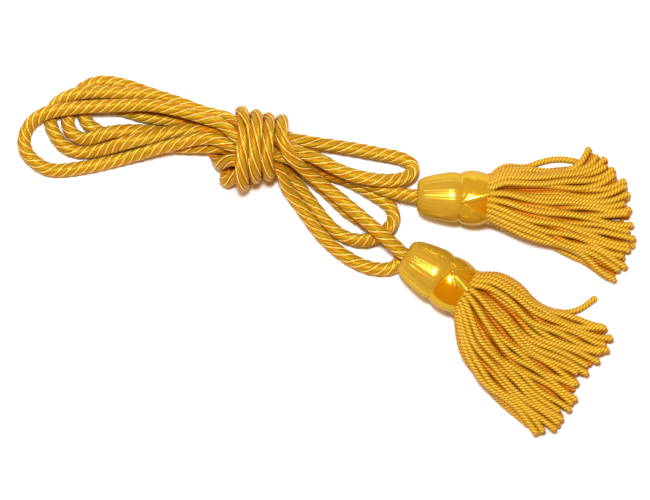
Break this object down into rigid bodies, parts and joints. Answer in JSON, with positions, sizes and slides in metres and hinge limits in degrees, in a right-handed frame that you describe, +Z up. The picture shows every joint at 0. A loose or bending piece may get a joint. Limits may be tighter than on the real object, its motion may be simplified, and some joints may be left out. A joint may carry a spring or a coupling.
{
  "type": "silk tassel",
  "caption": "Twisted satin cord folded into a hank and wrapped round itself at the middle, with a domed, ribbon-bound tassel of corded fringe on each end",
  "frame": {"origin": "centre of the bounding box on the floor that the piece rests on", "axes": "+X runs along the hank from its loops to the tassels, +Y across it towards the outer side of the upper tassel, +Z up"},
  "size_m": [0.3585, 0.2078, 0.0403],
  "materials": {
    "cord": "golden yellow rayon satin yarn, laid in a four strand twist",
    "satin": "golden yellow satin gathered over a turned mould",
    "ribbon": "golden yellow satin ribbon, crossed in slanting folds",
    "fringe": "golden yellow rayon twisted into fine strands"
  },
  "bodies": {
    "root": {"rope": "cord", "head_1": "satin", "head_2": "satin", "band_1": "ribbon", "band_2": "ribbon", "skirt_1": "fringe", "skirt_2": "fringe"}
  },
  "joints": []
}
